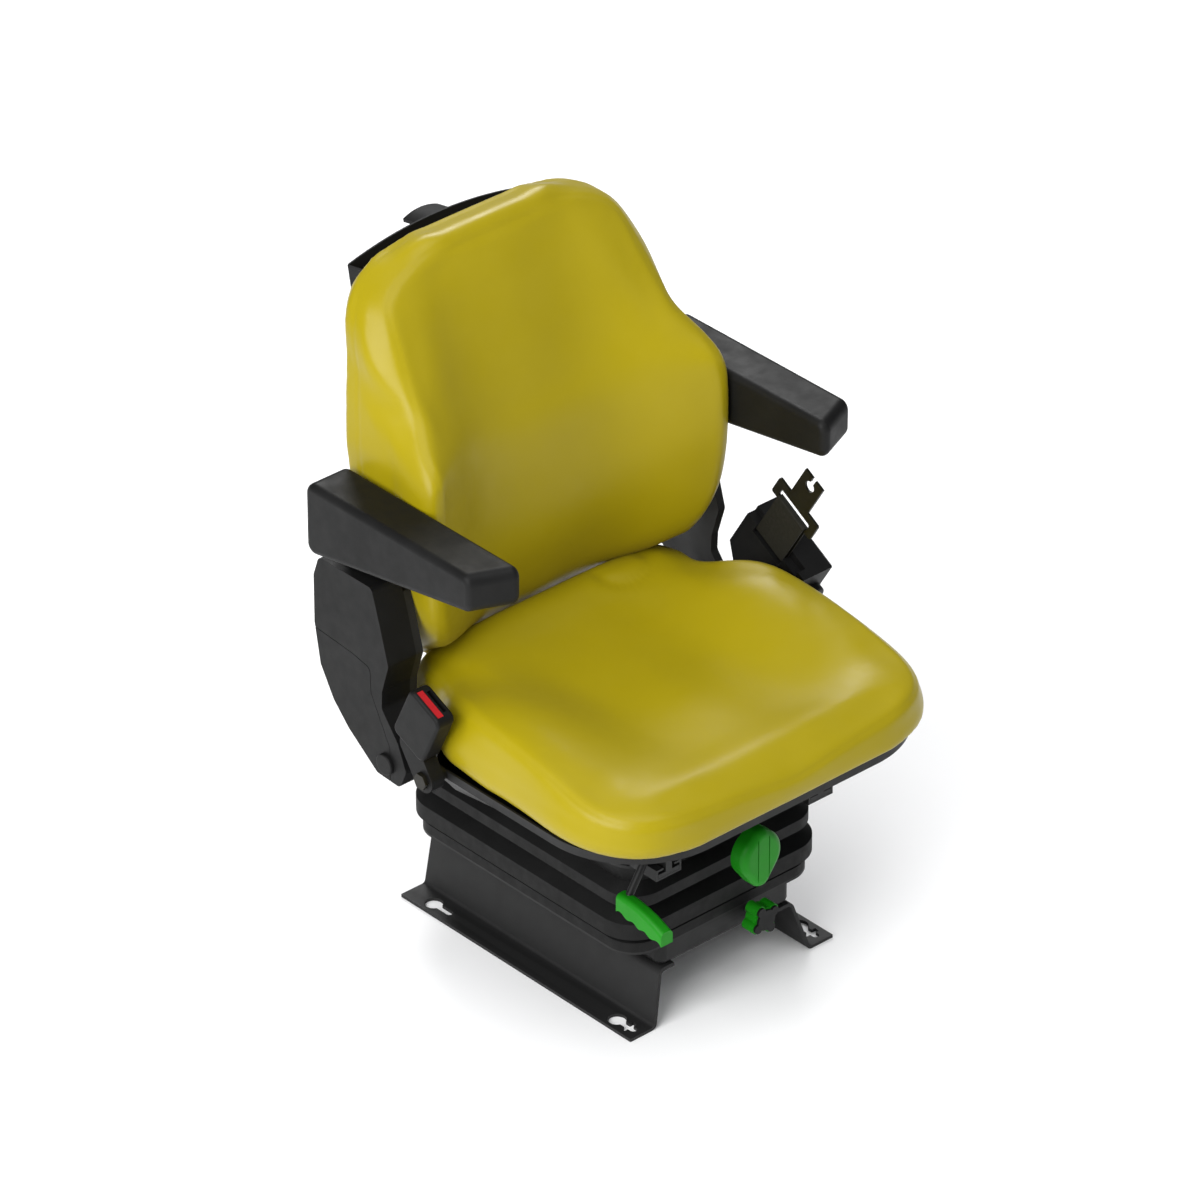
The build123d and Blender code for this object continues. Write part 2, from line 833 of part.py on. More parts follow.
# Backrest cushion: level sections, hollow in the middle, with side wings
def back_section(z, middle_y, ridge_in, ridge_y, side_in, tuck):
    """Return one level section of the backrest cushion; widths set in from the widest place."""
    ridge_x = back_half_width - ridge_in
    side_x = back_half_width - side_in
    rear_y = back_rear + (z - back_rear_z) * tan(radians(back_lean)) - tuck
    edge_y = rear_y - back_edge
    rear_left = (back_edge - side_x, rear_y)
    edge_left = (-side_x, edge_y)
    side_left = (-side_x, ridge_y + (edge_y - ridge_y) * wing_belly)
    front_left = [
        side_left,
        (-ridge_x, ridge_y),
        (-ridge_x * wing_foot, middle_y - (middle_y - ridge_y) * wing_foot_rise),
    ]
    outline = mirrored(front_left, (0, middle_y))
    with BuildSketch(Plane.XY.offset(z)) as section:
        with BuildLine():
            Spline(*outline)
            Polyline(
                outline[-1],
                (side_x, edge_y),
                (-rear_left[0], rear_y),
                rear_left,
                edge_left,
                side_left,
            )
        make_face()
    return section.sketch


# Height, front in the middle, ridge of the wing inwards and along, side inwards, rear tuck
back_stations = (
    (336, 143, 96, 140, 74, 6),
    (362, 134, 61, 129, 40, 12),
    (378, 121, 43, 102, 24, 18),
    (398, 112, 31, 80, 13, 22),
    (440, 103, 13, 63, 3, 17),
    (490, 104, 6, 56, 0, 3),
    (560, 114, 5, 54, 0, 0),
    (615, 128, 10, 62, 2, 0),
    (650, 139, 21, 96, 8, 0),
    (690, 153, 33, 132, 16, 0),
    (735, 170, 42, 162, 22, 0),
    (765, 182, 53, 181, 33, 0),
    (785, 191, 79, 194, 59, 0),
    (800, 198, 117, 201, 95, 2),
    (811, 205, 163, 207, 139, 8),
)
with BuildPart() as back_cushion:
    loft([back_section(*station) for station in back_stations])
keep(back_cushion, "back_cushion")

# Backrest shell: leaning pocket behind the cushion, open at the top
back_normal = (0, -cos(radians(back_lean)), sin(radians(back_lean)))
back_plane = Plane((0, back_rear + back_gap, back_rear_z), x_dir=(1, 0, 0), z_dir=back_normal)


def shell_outline(inset, rise):
    """Return the rear view of the shell, set in at the sides and raised at the top."""
    half_width = shell_half_width - inset
    top = shell_rise + rise
    with BuildSketch(back_plane) as outline:
        with BuildLine():
            FilletPolyline(
                (-half_width, top),
                (-half_width, inset - shell_drop),
                (half_width, inset - shell_drop),
                (half_width, top),
                radius=shell_corner - inset,
            )
            ThreePointArc((-half_width, top), (0, top + shell_arch), (half_width, top))
        make_face()
    return outline.sketch


# Struts that hold the shell on the cross bar
strut_foot_place = back_plane.from_local_coords((0, strut_rise, shell_wall / 2 - shell_depth))
with BuildPart() as strut:
    with BuildSketch(Plane.YZ.offset(strut_x)):
        with Locations((back_bar_y, back_bar_z)):
            Circle(strut_radius)
        with Locations((strut_foot_place.Y, strut_foot_place.Z)):
            Rectangle(shell_wall / 2, strut_foot)
        make_hull()
        with Locations((back_bar_y, back_bar_z)):
            Circle(back_bar_diameter / 2, mode=Mode.SUBTRACT)
    extrude(amount=strut_sheet)
keep_pair(strut, "back_strut")

with BuildPart() as shell:
    extrude(shell_outline(0, 0), amount=-shell_depth)
    rear_face = shell.faces().sort_by(Axis(back_plane.origin, back_plane.z_dir))[0]
    fillet(rear_face.edges().filter_by(GeomType.LINE), shell_round)
    extrude(shell_outline(shell_wall, shell_depth), amount=shell_wall - shell_depth, mode=Mode.SUBTRACT)
    add(strut.part, mode=Mode.SUBTRACT)
    add(strut.part.mirror(Plane.YZ), mode=Mode.SUBTRACT)
keep(shell, "back_shell")

# Socket for a back extension: a sleeve with an arched cap, on the back of the shell
cap_half = socket_width / 2 + socket_cap_over
with BuildPart() as socket:
    with BuildSketch(back_plane.offset(-shell_depth)):
        with Locations((0, socket_top)):
            Rectangle(socket_width, socket_height, align=(Align.CENTER, Align.MAX))
    extrude(amount=-socket_depth)
    with BuildSketch(back_plane.offset(-shell_depth)):
        with BuildLine():
            Polyline(
                (cap_half, socket_top + socket_cap_sheet),
                (cap_half, socket_top),
                (-cap_half, socket_top),
                (-cap_half, socket_top + socket_cap_sheet),
            )
            ThreePointArc(
                (-cap_half, socket_top + socket_cap_sheet),
                (0, socket_top + socket_cap_sheet + socket_cap_arch),
                (cap_half, socket_top + socket_cap_sheet),
            )
        make_face()
    extrude(amount=-socket_depth - socket_cap_over)
    with BuildSketch(back_plane.offset(-shell_depth - socket_wall)):
        with Locations((0, socket_top - socket_height)):
            Rectangle(
                socket_width - 2 * socket_wall,
                socket_height - socket_wall,
                align=(Align.CENTER, Align.MIN),
            )
    extrude(amount=2 * socket_wall - socket_depth, mode=Mode.SUBTRACT)
keep(socket, "extension_socket")

# Recline brackets and pins on the pan
carrier_face = carrier_x + carrier_sheet
with BuildPart() as recline_bracket:
    with BuildSketch(Plane.YZ.offset(pan_rear_half_width)):
        with Locations((recline_y, recline_z)):
            Circle(bracket_radius)
            Circle(recline_pin_diameter / 2, mode=Mode.SUBTRACT)
        with Locations((recline_y, pan_rim_top)):
            Rectangle(
                2 * bracket_radius,
                bracket_radius,
                align=(Align.CENTER, Align.MIN),
                mode=Mode.SUBTRACT,
            )
        with Locations((pan_neck_y - pan_wall, recline_z)):
            Rectangle(
                bracket_radius,
                2 * bracket_radius,
                align=(Align.MAX, Align.CENTER),
                mode=Mode.SUBTRACT,
            )
    extrude(amount=bracket_sheet)
    add(pan.part, mode=Mode.SUBTRACT)
keep_pair(recline_bracket, "recline_bracket")

with BuildPart() as recline_pin:
    with BuildSketch(Plane.YZ.offset(pan_rear_half_width)):
        with Locations((recline_y, recline_z)):
            Circle(recline_pin_diameter / 2)
    extrude(amount=carrier_face + recline_pin_end - pan_rear_half_width)
keep_pair(recline_pin, "recline_pin")


# Carriers and covers share one side outline, front edge down then rear edge up
rest_pivot_z = rest_top - rest_pivot_drop
cover_top = rest_top - cover_top_drop
carrier_top = cover_top - carrier_top_drop
post_bottom = carrier_top - post_overlap


def cover_outline(x, inset):
    """Return the side outline of the hinge cover on a plane across X."""
    with BuildSketch(Plane.YZ.offset(x)) as outline:
        with BuildLine():
            FilletPolyline(
                (97, cover_top),
                (84, 454),
                (71, 408),
                (82, 372),
                (83, 350),
                (57, 317),
                (44, 286),
                (54, 262),
                (92, 264),
                (139, 299),
                (163, 324),
                (184, 360),
                (193, 410),
                (193, 470),
                (184, cover_top),
                radius=cover_bend,
                close=True,
            )
        make_face()
        if inset:
            offset(amount=-inset, mode=Mode.REPLACE)
    return outline.sketch


def panel_outline(x, inset):
    """Return the region of the lower rear panel of the cover."""
    with BuildSketch(Plane.YZ.offset(x)) as outline:
        with BuildLine():
            FilletPolyline(
                (230, 407 - inset),
                (131, 399 - inset),
                (101 + inset, 393 - inset),
                (100 + inset, 362),
                (70 + inset, 305),
                (70 + inset, 240),
                (230, 240),
                radius=cover_bend,
                close=True,
            )
        make_face()
    return outline.sketch


with BuildPart() as carrier:
    extrude(cover_outline(carrier_x, 0), amount=carrier_sheet)
    with BuildSketch(Plane.YZ.offset(carrier_x)):
        with Locations((recline_y, carrier_top)):
            Rectangle(cover_top, cover_top, align=(Align.CENTER, Align.MIN))
        with Locations((carrier_front, recline_z)):
            Rectangle(cover_top, 2 * cover_top, align=(Align.MAX, Align.CENTER))
        with Locations((recline_y, recline_z)):
            Circle(recline_pin_diameter / 2 + running_gap)
        with Locations((back_bar_y, back_bar_z)):
            Circle(back_bar_diameter / 2)
    extrude(amount=carrier_sheet, mode=Mode.SUBTRACT)
    with BuildSketch(Plane.YZ.offset(carrier_face)):
        with Locations((rest_pivot_y, rest_pivot_z)):
            Circle(lug_radius)
            Rectangle(2 * lug_radius, rest_pivot_z - post_bottom, align=(Align.CENTER, Align.MAX))
            Circle(rest_pin_diameter / 2, mode=Mode.SUBTRACT)
    extrude(amount=post_sheet)
keep_pair(carrier, "back_carrier")

with BuildPart() as upper_cover:
    extrude(cover_outline(carrier_face, 0), amount=cover_depth)
    extrude(panel_outline(carrier_face, 0), amount=cover_depth, mode=Mode.SUBTRACT)
    extrude(cover_outline(carrier_face, cover_wall), amount=cover_depth - cover_wall, mode=Mode.SUBTRACT)
    add(carrier.part, mode=Mode.SUBTRACT)
keep_right(upper_cover, "hinge_cover_upper")

with BuildPart() as lower_cover:
    extrude(cover_outline(carrier_face, 0), amount=cover_depth)
    extrude(panel_outline(carrier_face, cover_parting), amount=cover_depth, mode=Mode.INTERSECT)
    extrude(cover_outline(carrier_face, cover_wall), amount=cover_depth - cover_wall, mode=Mode.SUBTRACT)
keep_right(lower_cover, "hinge_cover_lower")

with BuildPart() as boss:
    with BuildSketch(Plane.YZ.offset(carrier_face + cover_depth)):
        with Locations((recline_y, recline_z)):
            Circle(boss_diameter / 2)
    extrude(amount=boss_height)
    fillet(boss.faces().sort_by(Axis.X)[-1].edges(), boss_height / 3)
keep_right(boss, "hinge_boss")

# Cross bar between the carriers
with BuildPart() as back_bar:
    with BuildSketch(Plane.YZ):
        with Locations((back_bar_y, back_bar_z)):
            Circle(back_bar_diameter / 2)
    extrude(amount=carrier_face, both=True)
keep(back_bar, "back_bar")

# Armrests: shaped block with a slot that takes the carrier's lug
rest_rear_bottom = rest_top - rest_rear_height
rest_front_bottom = rest_top - rest_front_height
rest_inner_x = carrier_x + rest_room
rest_outer_x = rest_inner_x + rest_width
slot_start = rest_inner_x + rest_inner_wall
slot_end = rest_outer_x - rest_outer_wall
post_face = carrier_face + post_sheet


def armrest_profile(x, front):
    """Return the side view of the armrest with its front end at a given place."""
    with BuildSketch(Plane.YZ.offset(x)) as profile:
        with BuildLine():
            FilletPolyline(
                (front, rest_front_bottom),
                (front, rest_top),
                (rest_rear, rest_top),
                (rest_rear, rest_rear_bottom),
                radius=rest_bend,
                close=True,
            )
        make_face()
    return profile.sketch


inner_profile = armrest_profile(rest_inner_x, rest_front)
outer_profile = armrest_profile(rest_outer_x, rest_front + rest_front_skew)
with BuildPart() as armrest:
    loft([inner_profile, outer_profile])
    fillet(armrest.faces().filter_by(Axis.X).edges(), rest_round)
    slot_floor = rest_pivot_z + lug_radius + slide_gap
    with Locations((slot_start, rest_pivot_y - lug_radius - slide_gap, slot_floor)):
        Box(
            slot_end - slot_start,
            rest_rear - rest_pivot_y + 2 * lug_radius,
            slot_floor - rest_rear_bottom,
            align=(Align.MIN, Align.MIN, Align.MAX),
            mode=Mode.SUBTRACT,
        )
    with BuildSketch(Plane.YZ.offset(slot_start - rest_pin_bite - slide_gap)):
        with Locations((rest_pivot_y, rest_pivot_z)):
            Circle(rest_pin_diameter / 2 + running_gap)
    extrude(amount=slot_end - slot_start + 2 * (rest_pin_bite + slide_gap), mode=Mode.SUBTRACT)
keep_pair(armrest, "armrest")

with BuildPart() as rest_pin:
    with BuildSketch(Plane.YZ.offset(slot_start - rest_pin_bite)):
        with Locations((rest_pivot_y, rest_pivot_z)):
            Circle(rest_pin_diameter / 2)
    extrude(amount=slot_end - slot_start + 2 * rest_pin_bite)
    with BuildSketch(Plane.YZ.offset(post_face)):
        with Locations((rest_pivot_y, rest_pivot_z)):
            Circle(rest_pin_diameter)
    extrude(amount=slot_end - slide_gap - post_face)
keep_pair(rest_pin, "armrest_pin")


# Buckle: housing with a press button, on a boot bolted to the pan rim
def tilted_plane(x, y, z, tilt):
    """Return a plane across X whose second direction leans forward from upright."""
    return Plane((x, y, z), x_dir=(0, cos(radians(tilt)), sin(radians(tilt))), z_dir=(1, 0, 0))


buckle_x = -pan_half_width - buckle_room
buckle_side = tilted_plane(buckle_x - buckle_thickness / 2, buckle_y, buckle_z, buckle_tilt)
button_x = buckle_x - button_offset
button_side = tilted_plane(button_x - button_thickness / 2, buckle_y, buckle_z, buckle_tilt)
mouth_x = button_x + button_thickness / 2 + tongue_mouth_height
mouth_side = tilted_plane(mouth_x - tongue_mouth_height / 2, buckle_y, buckle_z, buckle_tilt)
pocket_depth = button_length + button_travel + 2 * slide_gap
with BuildPart() as buckle:
    with BuildSketch(buckle_side):
        with Locations((0, -buckle_length / 2)):
            RectangleRounded(buckle_width, buckle_length, buckle_corner)
    extrude(amount=buckle_thickness)
    fillet(buckle.faces().filter_by(Axis.X).edges(), buckle_round)
    with BuildSketch(button_side.offset(-slide_gap)):
        with Locations((0, -pocket_depth / 2)):
            Rectangle(button_width + 2 * slide_gap, pocket_depth)
    extrude(amount=button_thickness + 2 * slide_gap, mode=Mode.SUBTRACT)
    with BuildSketch(mouth_side):
        with Locations((0, -tongue_mouth_depth / 2)):
            Rectangle(tongue_mouth_width, tongue_mouth_depth)
    extrude(amount=tongue_mouth_height, mode=Mode.SUBTRACT)
keep(buckle, "buckle_housing")

with BuildPart() as button:
    with BuildSketch(button_side):
        with Locations((0, -slide_gap - button_length / 2)):
            Rectangle(button_width, button_length)
    extrude(amount=button_thickness)
keep(button, "buckle_button")

buckle_foot_y = buckle_y + buckle_length * sin(radians(buckle_tilt))
buckle_foot_z = buckle_z - buckle_length * cos(radians(buckle_tilt))
boot_x = buckle_x - boot_thickness / 2
with BuildPart() as boot:
    with BuildSketch(Plane.YZ.offset(boot_x)):
        with Locations((buckle_foot_y, buckle_foot_z), (anchor_y, anchor_z)):
            Circle(boot_radius)
        make_hull()
        with Locations((anchor_y, anchor_z)):
            Circle(anchor_diameter / 2, mode=Mode.SUBTRACT)
    extrude(amount=boot_thickness)
    add(buckle.part, mode=Mode.SUBTRACT)
keep(boot, "buckle_boot")

with BuildPart() as anchor:
    with BuildSketch(Plane.YZ.offset(boot_x)):
        with Locations((anchor_y, anchor_z)):
            Circle(anchor_diameter / 2)
    extrude(amount=boot_thickness)
    with BuildSketch(Plane.YZ.offset(boot_x + boot_thickness)):
        with Locations((anchor_y, anchor_z)):
            Circle(anchor_shoulder / 2)
    extrude(amount=-pan_half_width - boot_x - boot_thickness)
    with BuildSketch(Plane.YZ.offset(boot_x)):
        with Locations((anchor_y, anchor_z)):
            RegularPolygon(anchor_diameter, 6)
    extrude(amount=-anchor_head)
keep(anchor, "buckle_anchor_bolt")

# Retractor: housing, end cap and the bracket that holds it on the pan rim
belt_x = pan_half_width + belt_room
retractor_inner_x = pan_half_width + retractor_room
belt_side = tilted_plane(0, belt_y, belt_z, belt_tilt)
with BuildPart() as retractor:
    with BuildSketch(belt_side.offset(retractor_inner_x)):
        with BuildLine():
            Polyline(
                (retractor_front, retractor_lip),
                (retractor_rear, retractor_lip),
                (retractor_rear, retractor_cut - retractor_drop),
                (retractor_rear - retractor_cut, -retractor_drop),
                (retractor_front + retractor_cut / 2, -retractor_drop),
                (retractor_front, retractor_cut / 2 - retractor_drop),
                close=True,
            )
        make_face()
    extrude(amount=retractor_depth)
    chamfer(retractor.faces().sort_by(Axis.X)[-1].edges(), retractor_round)
    webbing_half = webbing_width / 2 + slide_gap
    with BuildSketch(belt_side.offset(retractor_inner_x)):
        Rectangle(4 * webbing_half, 2 * retractor_lip, align=(Align.CENTER, Align.MIN))
        Rectangle(2 * webbing_half, 2 * webbing_tuck, align=(Align.CENTER, Align.MAX))
    extrude(
        amount=belt_x + webbing_spread / 2 + webbing_thickness - retractor_inner_x,
        mode=Mode.SUBTRACT,
    )
keep(retractor, "retractor_housing")

with BuildPart() as retractor_cap:
    cap_plane = Plane(
        belt_side.offset(retractor_inner_x + retractor_depth / 2).from_local_coords(
            (retractor_front, (retractor_lip - retractor_drop) / 2, 0)
        ),
        x_dir=(1, 0, 0),
        z_dir=-belt_side.x_dir,
    )
    with BuildSketch(cap_plane):
        Circle(retractor_cap_radius)
    extrude(amount=retractor_cap_depth)
    cap_end = retractor_cap.faces().sort_by(Axis(cap_plane.origin, cap_plane.z_dir))[-1]
    fillet(cap_end.edges(), retractor_cap_round)
keep(retractor_cap, "retractor_cap")

with BuildPart() as retractor_bracket:
    with BuildSketch(Plane.YZ.offset(pan_half_width)):
        with BuildLine():
            Polyline(
                (retractor_foot_front, rim_bottom),
                (retractor_foot_rear, rim_bottom),
                (retractor_head_rear, belt_z - retractor_drop / 2),
                (retractor_head_front, belt_z - retractor_drop / 2),
                close=True,
            )
        make_face()
    extrude(amount=retractor_inner_x - pan_half_width)
keep(retractor_bracket, "retractor_bracket")

# Webbing: one strip that runs up, through the tongue and back down
strip_start = belt_x - webbing_spread / 2
strip_end = belt_x + webbing_spread / 2
strip_plane = Plane(
    belt_side.from_local_coords((-webbing_width / 2, 0, 0)), x_dir=(1, 0, 0), z_dir=belt_side.x_dir
)
with BuildPart() as webbing:
    with BuildSketch(strip_plane):
        with BuildLine():
            FilletPolyline(
                (strip_start, webbing_tuck),
                (strip_start, -webbing_rise),
                (strip_end, -webbing_rise),
                (strip_end, webbing_tuck),
                radius=webbing_spread / 2 - slide_gap,
            )
        trace(line_width=webbing_thickness)
    extrude(amount=webbing_width)
keep(webbing, "belt_webbing")

# Tongue: plate with a slot for the webbing and a latch notch in the blade
slot_low = webbing_rise - webbing_thickness / 2 - 2 * seat_gap
with BuildPart() as tongue:
    with BuildSketch(belt_side.offset(belt_x - tongue_sheet / 2)):
        with Locations((0, (tongue_base_low + tongue_base_high) / 2)):
            RectangleRounded(
                2 * tongue_base_half,
                tongue_base_high - tongue_base_low,
                tongue_sheet,
            )
        with Locations((0, tongue_base_low + tongue_sheet)):
            Rectangle(
                2 * tongue_blade_half,
                tongue_blade_top - tongue_base_low - tongue_sheet,
                align=(Align.CENTER, Align.MIN),
            )
        with Locations((0, slot_low)):
            RectangleRounded(
                2 * tongue_slot_half,
                tongue_slot_height,
                tongue_sheet,
                align=(Align.CENTER, Align.MIN),
                mode=Mode.SUBTRACT,
            )
        with Locations((0, tongue_blade_top - tongue_latch_set_back)):
            Circle(tongue_latch_radius, mode=Mode.SUBTRACT)
            Rectangle(
                tongue_latch_slit,
                2 * tongue_latch_set_back,
                align=(Align.CENTER, Align.MIN),
                mode=Mode.SUBTRACT,
            )
    extrude(amount=tongue_sheet)
keep(tongue, "belt_tongue")
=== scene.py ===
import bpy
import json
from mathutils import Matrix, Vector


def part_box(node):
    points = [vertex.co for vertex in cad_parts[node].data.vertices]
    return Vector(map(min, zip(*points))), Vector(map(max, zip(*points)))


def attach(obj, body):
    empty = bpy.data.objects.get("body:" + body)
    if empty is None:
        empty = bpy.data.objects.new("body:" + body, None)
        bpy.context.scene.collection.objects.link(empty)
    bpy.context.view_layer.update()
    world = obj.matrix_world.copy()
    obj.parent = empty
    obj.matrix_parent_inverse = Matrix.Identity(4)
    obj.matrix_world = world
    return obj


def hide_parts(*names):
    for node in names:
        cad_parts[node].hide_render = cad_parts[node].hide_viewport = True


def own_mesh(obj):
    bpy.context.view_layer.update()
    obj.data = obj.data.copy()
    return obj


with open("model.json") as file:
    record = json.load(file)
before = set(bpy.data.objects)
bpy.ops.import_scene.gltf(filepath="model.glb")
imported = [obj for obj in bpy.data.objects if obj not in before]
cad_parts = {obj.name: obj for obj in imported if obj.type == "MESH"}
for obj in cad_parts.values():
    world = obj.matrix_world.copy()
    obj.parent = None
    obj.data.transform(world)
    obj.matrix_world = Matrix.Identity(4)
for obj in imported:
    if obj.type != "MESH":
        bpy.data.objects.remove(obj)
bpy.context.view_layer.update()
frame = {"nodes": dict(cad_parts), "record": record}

import json
import math

import bpy
import numpy as np
from mathutils import Vector
from mathutils.bvhtree import BVHTree
from mathutils.kdtree import KDTree

nodes = frame["nodes"]
scene = bpy.context.scene


# Shader helpers
class Shader:
    """A material with one principled shader and short calls to add nodes to it."""

    def __init__(self, name):
        self.material = bpy.data.materials.new(name)
        self.material.use_nodes = True
        self.tree = self.material.node_tree
        self.surface = self.tree.nodes["Principled BSDF"]
        self.place = self.add("ShaderNodeTexCoord").outputs["Object"]

    def add(self, kind, **values):
        node = self.tree.nodes.new(kind)
        for key, value in values.items():
            setattr(node, key, value)
        return node

    def link(self, source, target):
        self.tree.links.new(source, target)

    def set(self, **values):
        for key, value in values.items():
            self.surface.inputs[key.replace("_", " ")].default_value = value

    def noise(self, scale, detail=2.0, roughness=0.5, stretch=None):
        node = self.add("ShaderNodeTexNoise")
        node.inputs["Scale"].default_value = scale
        node.inputs["Detail"].default_value = detail
        node.inputs["Roughness"].default_value = roughness
        if stretch:
            mapping = self.add("ShaderNodeMapping")
            mapping.inputs["Scale"].default_value = stretch
            self.link(self.place, mapping.inputs["Vector"])
            self.link(mapping.outputs["Vector"], node.inputs["Vector"])
        else:
            self.link(self.place, node.inputs["Vector"])
        return node.outputs["Fac"]

    def cells(self, scale):
        node = self.add("ShaderNodeTexVoronoi", feature="DISTANCE_TO_EDGE")
        node.inputs["Scale"].default_value = scale
        self.link(self.place, node.inputs["Vector"])
        return node.outputs["Distance"]

    def ramp(self, source, *stops):
        node = self.add("ShaderNodeValToRGB")
        elements = node.color_ramp.elements
        while len(elements) < len(stops):
            elements.new(0.5)
        for element, (place, colour) in zip(elements, stops):
            element.position = place
            element.color = (*colour, 1.0)
        self.link(source, node.inputs["Fac"])
        return node.outputs["Color"]

    def spread(self, source, low, high, start=0.3, end=0.7):
        node = self.add("ShaderNodeMapRange")
        node.inputs["From Min"].default_value = start
        node.inputs["From Max"].default_value = end
        node.inputs["To Min"].default_value = low
        node.inputs["To Max"].default_value = high
        self.link(source, node.inputs["Value"])
        return node.outputs["Result"]

    def bump(self, source, strength, distance, below=None):
        node = self.add("ShaderNodeBump")
        node.inputs["Strength"].default_value = strength
        node.inputs["Distance"].default_value = distance
        self.link(source, node.inputs["Height"])
        if below is not None:
            self.link(below, node.inputs["Normal"])
        return node.outputs["Normal"]

    def colour(self, socket):
        self.link(socket, self.surface.inputs["Base Color"])

    def rough(self, socket):
        self.link(socket, self.surface.inputs["Roughness"])

    def normal(self, socket):
        self.link(socket, self.surface.inputs["Normal"])


def vinyl():
    """Yellow coated fabric with a fine grain and a soft sheen."""
    s = Shader("yellow_vinyl")
    s.colour(s.ramp(s.noise(9, 3), (0.3, (0.292, 0.230, 0.0015)), (0.7, (0.312, 0.246, 0.0025))))
    s.rough(s.spread(s.noise(40, 4), 0.32, 0.40))
    grain = s.bump(s.cells(700), 0.08, 0.0004)
    s.normal(s.bump(s.noise(60, 3), 0.05, 0.002, grain))
    s.set(Specular_IOR_Level=0.24, Sheen_Weight=0.02)
    return s.material


def plastic(name, dark, light, rough, grain=900.0, strength=0.12):
    """Moulded plastic with a fine spark-eroded grain."""
    s = Shader(name)
    s.colour(s.ramp(s.noise(14, 3), (0.35, dark), (0.65, light)))
    s.rough(s.spread(s.noise(60, 4), rough - 0.05, rough + 0.05))
    fine = s.bump(s.noise(grain, 2), strength, 0.0004)
    s.normal(s.bump(s.noise(35, 2), 0.04, 0.002, fine))
    s.set(Specular_IOR_Level=0.16)
    return s.material


def paint():
    """Satin black paint on sheet steel, with a painted highlight that lightens its sharp edges."""
    s = Shader("black_paint")
    geometry = s.add("ShaderNodeNewGeometry")
    # painted highlight: convex edges get a lighter black, standing in for light catching them
    edge_highlight = s.spread(geometry.outputs["Pointiness"], 0.0, 1.0, 0.52, 0.62)
    s.colour(s.ramp(edge_highlight, (0.2, (0.006, 0.006, 0.006)), (1.0, (0.016, 0.016, 0.016))))
    s.rough(s.spread(s.noise(45, 4), 0.44, 0.56))
    s.normal(s.bump(s.noise(260, 3), 0.08, 0.0008))
    s.set(Specular_IOR_Level=0.25)
    return s.material


def rubber():
    """Matt black bellows rubber with a dusty bloom."""
    s = Shader("bellows_rubber")
    bloom = s.noise(22, 5, 0.6)
    s.colour(s.ramp(bloom, (0.3, (0.004, 0.004, 0.004)), (0.75, (0.007, 0.007, 0.007))))
    s.rough(s.spread(s.noise(80, 3), 0.56, 0.68))
    s.normal(s.bump(s.noise(500, 2), 0.12, 0.0005))
    s.set(Specular_IOR_Level=0.20)
    return s.material


def steel():
    """Dark plated steel with fine drawn lines."""
    s = Shader("steel")
    drawn = s.noise(120, 3, 0.5, (1.0, 1.0, 8.0))
    s.colour(s.ramp(drawn, (0.3, (0.10, 0.10, 0.10)), (0.7, (0.16, 0.16, 0.16))))
    s.rough(s.spread(s.noise(200, 3, 0.5, (1.0, 1.0, 10.0)), 0.28, 0.42))
    s.normal(s.bump(s.noise(300, 2, 0.5, (1.0, 1.0, 12.0)), 0.06, 0.0004))
    s.set(Metallic=0.9)
    return s.material


def tongue_steel():
    """Blackened stamped steel of the belt fittings."""
    s = Shader("blackened_steel")
    s.colour(s.ramp(s.noise(70, 3), (0.3, (0.008, 0.007, 0.004)), (0.7, (0.013, 0.012, 0.007))))
    s.rough(s.spread(s.noise(90, 3), 0.34, 0.48))
    s.normal(s.bump(s.noise(400, 2), 0.05, 0.0004))
    s.set(Metallic=0.2, Specular_IOR_Level=0.30)
    return s.material


def weave():
    """Belt webbing: ribs along the strap crossed by a fine weft."""
    s = Shader("webbing")
    across = s.add("ShaderNodeTexWave", wave_type="BANDS", bands_direction="Y")
    across.inputs["Scale"].default_value = 190.0
    across.inputs["Distortion"].default_value = 0.4
    s.link(s.place, across.inputs["Vector"])
    s.colour(s.ramp(across.outputs["Fac"], (0.2, (0.006, 0.0055, 0.003)), (0.8, (0.014, 0.013, 0.008))))
    s.rough(s.spread(s.noise(300, 3), 0.62, 0.78))
    s.normal(s.bump(across.outputs["Fac"], 0.3, 0.0004))
    s.set(Sheen_Weight=0.05, Specular_IOR_Level=0.22)
    return s.material


materials = {
    "yellow_vinyl": vinyl(),
    "black_plastic": plastic("black_plastic", (0.006, 0.006, 0.006), (0.009, 0.009, 0.009), 0.50),
    "black_paint": paint(),
    "bellows_rubber": rubber(),
    "green_plastic": plastic("green_plastic", (0.005, 0.165, 0.003), (0.009, 0.200, 0.006), 0.42),
    "red_plastic": plastic("red_plastic", (0.36, 0.010, 0.014), (0.44, 0.014, 0.018), 0.38),
    "steel": steel(),
    "webbing": weave(),
}
tongue_material = tongue_steel()

for part in frame["record"]["subparts"]:
    piece = nodes[part["node"]]
    piece.data.materials.clear()
    piece.data.materials.append(materials[part["material_slot"]])
for name in ("belt_tongue", "buckle_anchor_bolt"):
    nodes[name].data.materials.clear()
    nodes[name].data.materials.append(tongue_material)


# Smooth the curved faces of the solids, keep their sharp edges
sharp_angle = math.radians(32)
for piece in nodes.values():
    piece.data.polygons.foreach_set("use_smooth", [True] * len(piece.data.polygons))
    split = piece.modifiers.new("edges", "EDGE_SPLIT")
    split.split_angle = sharp_angle


# Soft pieces
def copy_of(node, name):
    """Return a new object with a copy of a node's mesh."""
    piece = bpy.data.objects.new(name, nodes[node].data.copy())
    scene.collection.objects.link(piece)
    return piece


def apply_all(piece):
    """Turn what the modifiers make into the piece's own mesh."""
    graph = bpy.context.evaluated_depsgraph_get()
    mesh = bpy.data.meshes.new_from_object(piece.evaluated_get(graph))
    piece.modifiers.clear()
    piece.data = mesh


